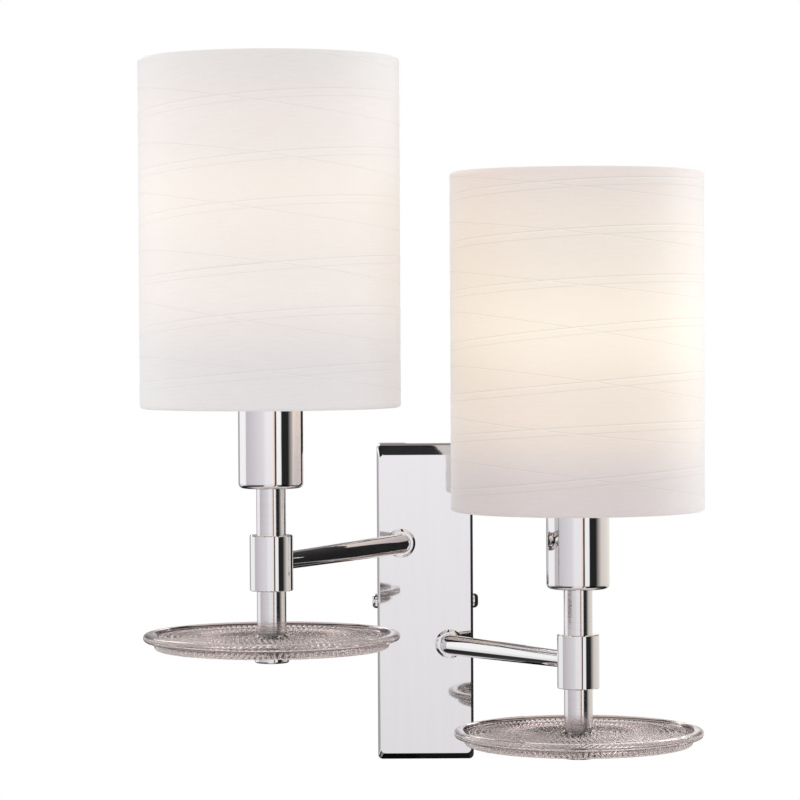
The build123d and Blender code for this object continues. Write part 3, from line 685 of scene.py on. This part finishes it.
def ribbon_wrap():
    """Tree that winds a flat turn of ribbon round a drum, turn above turn, with a swing in its height."""
    tree, source, result = new_group(
        "GeometryNodeTree", "ribbon_wrap",
        {"Geometry": "Geometry", "Turns": "Int", "Pitch": "Float", "Radius": "Float", "Start": "Float",
         "Bottom": "Float", "Top": "Float", "Swing": "Float", "Peak": "Float", "Seed": "Int",
         "Finish": "Material"},
        {"Geometry": "Geometry"})
    given = source.outputs
    calc = partial(node_math, tree)
    lag_span, swing_span, rise_span, join_reach = (-0.3, 0.3), (0.75, 1.25), (-0.07, 0.07), 1e-6
    line = add(tree, "GeometryNodeMeshLine", Count=given["Turns"], Offset=(0, 0, 0))
    wound = add(tree, "GeometryNodeInstanceOnPoints", Points=line.outputs["Mesh"], Instance=given["Geometry"])
    numbered = add(tree, "GeometryNodeStoreNamedAttribute", {"domain": "INSTANCE"}, Name="turn",
                   Geometry=wound.outputs["Instances"], Value=add(tree, "GeometryNodeInputIndex").outputs[0])
    flat = add(tree, "GeometryNodeRealizeInstances", Geometry=numbered.outputs["Geometry"])
    turn = add(tree, "GeometryNodeInputNamedAttribute", Name="turn").outputs["Attribute"]
    place = add(tree, "GeometryNodeInputPosition").outputs[0]
    share, across, lift = add(tree, "ShaderNodeSeparateXYZ", Vector=place).outputs

    def uneven(span, seed_step):
        """A value inside a span that is fixed for each turn."""
        seed = calc("ADD", given["Seed"], seed_step)
        return add(tree, "FunctionNodeRandomValue", {"data_type": "FLOAT"}, Min=span[0], Max=span[1],
                   ID=turn, Seed=seed).outputs["Value"]

    angle = calc("MULTIPLY", calc("SUBTRACT", share, 0.5), 2 * pi)
    lag = calc("ADD", given["Peak"], uneven(lag_span, 1.0))
    swing = calc("MULTIPLY", given["Swing"], uneven(swing_span, 2.0))
    wave = calc("MULTIPLY", calc("COSINE", calc("SUBTRACT", angle, lag)), swing)
    rise = calc("MULTIPLY", calc("ADD", turn, uneven(rise_span, 3.0)), given["Pitch"])
    height = calc("ADD", calc("ADD", given["Start"], rise), calc("ADD", across, wave))
    height = calc("MAXIMUM", calc("MINIMUM", height, given["Top"]), given["Bottom"])
    radius = calc("ADD", given["Radius"], lift)
    to_front = calc("MULTIPLY", radius, -1.0)
    moved = add(tree, "ShaderNodeCombineXYZ", X=calc("MULTIPLY", calc("SINE", angle), radius),
                Y=calc("MULTIPLY", calc("COSINE", angle), to_front), Z=height)
    bent = add(tree, "GeometryNodeSetPosition", Geometry=flat.outputs["Geometry"], Position=moved.outputs[0])
    closed = add(tree, "GeometryNodeMergeByDistance", Geometry=bent.outputs["Geometry"], Distance=join_reach)
    cleared = add(tree, "GeometryNodeRemoveAttribute", Geometry=closed.outputs["Geometry"], Name="turn")
    end_tree(tree, cleared.outputs["Geometry"], source, result)
    return tree


# The right shade is the same cloth as the left; its darker, warmer tones are painted shade.
cloth_and_painted_shade_tones = {"left": ((0.815, 0.77, 0.768), (0.875, 0.83, 0.83)),
               "right": ((0.74, 0.656, 0.646), (0.794, 0.711, 0.701))}
# The cords' colours are partly their own darker thread and partly painted shade.
cord_and_painted_shade_tones = {"left": (0.76, 0.735, 0.735), "right": (0.655, 0.6, 0.6)}
drum_steps, ribbon_steps, ribbon_crease = 192, 160, radians(50)
ribbon_pitch = {"left": 0.0307, "right": 0.0285}
ribbon_seed = {"left": 3, "right": 11}
ribbon_overlap, ribbon_lean, hem_line, hem_cloth = 0.0045, 0.005, 0.003, 0.035
ribbon_swing = {"falling": -0.0098, "climbing": 0.0062}
ribbon_peak = {"falling": radians(95), "climbing": radians(62)}
ribbon_lift = {"falling": 0.0, "climbing": 0.0003}
ribbon_cord = {"falling": 0.00034, "climbing": 0.00006}
wrap_tree = ribbon_wrap()
for side in sides:
    shade_low, shade_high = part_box(f"{side}_shade_fabric")
    lamp = (shade_low + shade_high) / 2
    height, radius = shade_high.z - shade_low.z, (shade_high.x - shade_low.x) / 2
    cloth, doubled = cloth_finish(f"{side}_cloth", cloth_and_painted_shade_tones[side], cord_and_painted_shade_tones[side])
    glow(cloth, shade_low.z, shade_high.z, painted_glow_colours[side], doubled)
    profile = drum_profile(radius, 0.0, height)
    drum = new_piece(f"{side}_shade_drum", *turned_mesh(profile, drum_steps), cloth, f"{side}_shade")
    run, lengths = 0.0, []
    for row, (r, z) in enumerate(profile):
        run += Vector((r - profile[row - 1][0], z - profile[row - 1][1])).length
        lengths.append(run)
    map_cloth(drum, [(2 * pi * radius * i / drum_steps, along)
                     for along in lengths for i in range(drum_steps)])
    drum.data.transform(Matrix.Translation((lamp.x, lamp.y, shade_low.z)))
    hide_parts(f"{side}_shade_fabric")
    pitch = ribbon_pitch[side]
    turns = int((height + pitch / 2) / pitch) + 1
    for name in ("falling", "climbing"):
        points, faces, marks = ribbon_strip(pitch, ribbon_overlap, ribbon_lean, ribbon_cord[name],
                                            ribbon_steps)
        ribbon = new_piece(f"{side}_ribbon_{name}", points, faces, cloth, f"{side}_shade")
        # Each point's mark for painted shade and highlight on the cords.
        corded = ribbon.data.attributes.new("cord_shade_and_highlight", "FLOAT", "POINT")
        corded.data.foreach_set("value", marks)
        map_cloth(ribbon, [(2 * pi * radius * x, y) for x, y, _ in points])
        run_tree(ribbon, wrap_tree, Turns=turns, Pitch=pitch, Radius=radius - ribbon_room + ribbon_lift[name],
                 Start=-pitch / 2, Bottom=hem_line, Top=height - hem_line, Swing=ribbon_swing[name],
                 Peak=ribbon_peak[name], Seed=ribbon_seed[side], Finish=cloth)
        ribbon.data.transform(Matrix.Translation((lamp.x, lamp.y, shade_low.z)))
        ribbon.data.set_sharp_from_angle(angle=ribbon_crease)

# Bulbs: candle-shaped frosted glass, lit, on nickel-plated screw caps.
# A dark glass ring keeps the soldered contact apart from the cap.
frosted_glass = grained_finish("frosted_glass", tones=((0.68, 0.65, 0.6), (0.74, 0.71, 0.67)),
                               roughness=(0.5, 0.65), grain=120, Transmission_Weight=0.2,
                               Emission_Color=(1.0, 0.84, 0.62, 1), Emission_Strength=0.3)
cap_metal = grained_finish("cap_metal", tones=((0.6, 0.59, 0.56), (0.72, 0.71, 0.68)), roughness=(0.2, 0.35),
                           grain=180, Metallic=1.0)
dark_glass = grained_finish("dark_glass", tones=((0.008, 0.008, 0.01), (0.02, 0.02, 0.024)),
                            roughness=(0.08, 0.2), grain=200)
for side in sides:
    give(frosted_glass, f"{side}_bulb_glass")
    give(cap_metal, f"{side}_bulb_cap", f"{side}_bulb_tip")
    give(dark_glass, f"{side}_bulb_insulator")

# Studio: white surroundings, grey and black screens that only the chrome and the glass see, a pale floor
# well below, and soft lamps at both sides. The screens stand round the object in bands of azimuth.
world = bpy.data.worlds.new("studio")
scene.world = world
world.use_nodes = True
tree = world.node_tree
calc = partial(node_math, tree)


def without(mask):
    """The share that a mask leaves."""
    return calc("SUBTRACT", 1.0, mask)


def mixed_shader(tree, share, first, second):
    """A shader between two others by a share."""
    node = add(tree, "ShaderNodeMixShader", Fac=share)
    tree.links.new(first, node.inputs[1])
    tree.links.new(second, node.inputs[2])
    return node.outputs[0]


# The view round the object: colours by degrees from the viewer's side, and darker levels towards the floor.
direction = add(tree, "ShaderNodeTexCoord").outputs["Generated"]
east, north, up = add(tree, "ShaderNodeSeparateXYZ", Vector=direction).outputs
rays = add(tree, "ShaderNodeLightPath").outputs
refracted = rays["Is Transmission Ray"]
white, grey, black, brown_black = (1.0, 1.0, 1.0), (0.42, 0.4, 0.42), (0.02, 0.02, 0.02), (0.03, 0.02, 0.02)
bands = (
    (-180, grey), (-144, grey), (-138, white), (-100, white), (-94, (0.58, 0.54, 0.58)),
    (-25, (0.8, 0.78, 0.8)), (-14, (0.92, 0.91, 0.925)), (8, (0.94, 0.925, 0.95)), (11, (1.0, 0.84, 0.74)),
    (15, (0.95, 0.72, 0.58)), (17, brown_black), (21, brown_black), (23, white), (38, white),
    (41, black), (66, black), (92, (0.75, 0.7, 0.64)), (180, (1.0, 0.97, 0.9)),
)
levels = ((0.0, 0.35), (0.1, 0.3), (0.2, 0.04), (0.29, 0.03), (0.33, 1.0), (1.0, 1.0))
bearing = calc("DIVIDE", calc("ARCTAN2", east, calc("MULTIPLY", north, -1.0)), 2 * pi)
screens = banded(tree, calc("ADD", bearing, 0.5),
                 [(degrees / 360 + 0.5, colour) for degrees, colour in bands])
below = banded(tree, calc("ADD", calc("MULTIPLY", up, 0.5), 0.5),
               [(height, (level, level, level)) for height, level in levels])

# Black screens overhead and low behind, an undimmed strip in front, and a ceiling behind with a window.
screen_up, screen_back, strip_half, low_screen_up, screen_strength = 0.36, 0.1, 0.35, -0.17, 0.97
ceiling_up, ceiling_back, window_east, window_up = 0.17, 0.1, -0.6, 0.55
horizon, horizon_levels = (-0.14, -0.03), (0.86, 1.0)
mirrored_ceiling, refracted_ceiling = (0.27, 0.245, 0.245), (0.5, 0.46, 0.46)
overhead = calc("MULTIPLY", calc("GREATER_THAN", up, screen_up), calc("LESS_THAN", north, screen_back))
narrow = calc("LESS_THAN", calc("ABSOLUTE", east), strip_half)
rear = calc("GREATER_THAN", north, 0.0)
low_behind = calc("MULTIPLY", calc("MULTIPLY", calc("LESS_THAN", up, low_screen_up), narrow), rear)
hidden = calc("MULTIPLY", calc("MAXIMUM", overhead, low_behind), screen_strength)
brow = calc("MULTIPLY", rescaled(tree, up, horizon, horizon_levels), without(hidden))
level = calc("MAXIMUM", below, calc("MULTIPLY", narrow, without(rear)))
shaded = mixed(tree, 1.0, mixed(tree, 1.0, screens, level, "MULTIPLY"), brow, "MULTIPLY")
window = calc("MULTIPLY", calc("LESS_THAN", east, window_east), calc("LESS_THAN", up, window_up))
window = calc("MULTIPLY", window, without(refracted))
ceiling = calc("MULTIPLY", calc("GREATER_THAN", up, ceiling_up), calc("GREATER_THAN", north, ceiling_back))
ceiling_tone = mixed(tree, refracted, mirrored_ceiling, refracted_ceiling)
seen = mixed(tree, calc("MULTIPLY", ceiling, without(window)), shaded, ceiling_tone)

# White for the camera and straight through the glass, the screens for reflections, soft light elsewhere.
soft_level, side_level, straight_back, glass_loss = 0.815, 0.22, 0.7, 0.2
ambient = tree.nodes["Background"]
ambient.inputs["Color"].default_value = (*white, 1)
to_side = calc("MULTIPLY", calc("MULTIPLY", east, east), side_level)
feed(tree, ambient.inputs["Strength"], calc("ADD", to_side, soft_level))
through = calc("MULTIPLY", refracted, calc("GREATER_THAN", north, straight_back))
aside = calc("SUBTRACT", refracted, through)
backdrop = add(tree, "ShaderNodeBackground", Color=(*white, 1)).outputs[0]
mirrored = add(tree, "ShaderNodeBackground", Color=seen,
               Strength=without(calc("MULTIPLY", aside, glass_loss)))
plain = mixed_shader(tree, calc("MAXIMUM", rays["Is Camera Ray"], through), ambient.outputs[0], backdrop)
whole = mixed_shader(tree, calc("MAXIMUM", rays["Is Glossy Ray"], aside), plain, mirrored.outputs[0])
feed(tree, tree.nodes["World Output"].inputs["Surface"], whole)


def stage_plane(name, corners, material):
    """A flat piece of the studio."""
    mesh = bpy.data.meshes.new(name)
    mesh.from_pydata(corners, [], [tuple(range(len(corners)))])
    mesh.materials.append(material)
    piece = bpy.data.objects.new(name, mesh)
    scene.collection.objects.link(piece)
    return piece


# The floor fades to the backdrop's white away from the object, and keeps its shadow near it.
floor_height, floor_reach, plain_reach, fade_end, floor_corners = -0.55, 1.5, 0.3, 0.96, 96
floor_finish = grained_finish("floor_paint", tones=((0.86, 0.86, 0.86), (0.9, 0.9, 0.9)),
                              roughness=(0.6, 0.7), grain=4)
paint = floor_finish.node_tree
place = add(paint, "ShaderNodeTexCoord").outputs["Object"]
x, y, _ = add(paint, "ShaderNodeSeparateXYZ", Vector=place).outputs
fade = rescaled(paint, diagonal(paint, x, y), before=(plain_reach, fade_end * floor_reach), ease="SMOOTHSTEP")
paths = add(paint, "ShaderNodeLightPath").outputs
in_view = node_math(paint, "MAXIMUM", paths["Is Camera Ray"], paths["Is Transmission Ray"])
faded = mixed_shader(paint, node_math(paint, "MULTIPLY", fade, in_view),
                     paint.nodes["Principled BSDF"].outputs[0], add(paint, "ShaderNodeEmission").outputs[0])
feed(paint, paint.nodes["Material Output"].inputs["Surface"], faded)
angles = [2 * pi * i / floor_corners for i in range(floor_corners)]
floor = stage_plane("floor", [(floor_reach * cos(a), floor_reach * sin(a), floor_height) for a in angles],
                    floor_finish)
floor.visible_glossy = False

# A dark card between the plate and the right lamp, clear from the right, and a pale card overhead.
dark_card = grained_finish("black_card", tones=((0.01, 0.01, 0.01), (0.015, 0.014, 0.014)),
                           roughness=(0.8, 0.9), grain=20)
card = dark_card.node_tree
one_sided = mixed_shader(card, add(card, "ShaderNodeNewGeometry").outputs["Backfacing"],
                         card.nodes["Principled BSDF"].outputs[0],
                         add(card, "ShaderNodeBsdfTransparent").outputs[0])
feed(card, card.nodes["Material Output"].inputs["Surface"], one_sided)
pale_card = grained_finish("pale_card", tones=((0.66, 0.62, 0.61), (0.7, 0.66, 0.65)), roughness=(0.8, 0.9),
                           grain=20)
dark_corners = [(0.06, -0.09, -0.2), (0.06, -0.09, 0.6), (0.06, 0.4, 0.6), (0.06, 0.4, -0.2)]
pale_corners = [(0.03, -0.25, 0.55), (0.012, 0.04, 0.55), (0.3, 0.04, 0.55), (0.3, -0.25, 0.55)]
for screen in (stage_plane("dark_screen", dark_corners, dark_card),
               stage_plane("pale_screen", pale_corners, pale_card)):
    screen.visible_camera = screen.visible_diffuse = False
    screen.visible_transmission = screen.visible_shadow = False


def new_lamp(name, kind, place, target, power, colour, **settings):
    """A lamp of the studio that shines towards a target."""
    data = bpy.data.lights.new(name, kind)
    data.energy, data.color = power, colour
    for label, value in settings.items():
        setattr(data, label, value)
    lamp = bpy.data.objects.new(name, data)
    lamp.location = place
    lamp.rotation_euler = (Vector(target) - Vector(place)).to_track_quat("-Z", "Y").to_euler()
    scene.collection.objects.link(lamp)
    return lamp


# Soft lamps at both sides, a narrow one aimed between the shades, and two for glints on glass and chrome.
for name, place, power, colour in (("left_lamp", (-1.2, -0.6, 0.9), 0.6, (0.97, 1.0, 1.0)),
                                   ("low_lamp", (-1.3, 0.15, -0.35), 1.9, (0.92, 0.98, 1.0)),
                                   ("right_lamp", (1.4, 0.38, 0.1), 6.4, (0.88, 0.97, 1.0))):
    soft_lamp = new_lamp(name, "AREA", place, target=(0, -0.1, 0.1), power=power, colour=colour, size=1.0)
    soft_lamp.visible_glossy = False
gap_lamp = new_lamp("gap_lamp", "SPOT", (-0.75, -1.4, -0.02), target=(0.045, -0.15, 0.12), power=12.0,
                    colour=(0.93, 0.97, 1.0), shadow_soft_size=0.12, spot_size=radians(10), spot_blend=1.0)
gap_lamp.visible_glossy = False
for name, place in (("left_glint", (-0.55, 1.0, 0.75)), ("right_glint", (0.55, 1.0, 0.75))):
    glint_lamp = new_lamp(name, "AREA", place, target=(0, -0.1, -0.05), power=2.4, colour=(1.0, 0.98, 0.95),
                          size=0.45)
    glint_lamp.visible_diffuse = glint_lamp.visible_camera = False
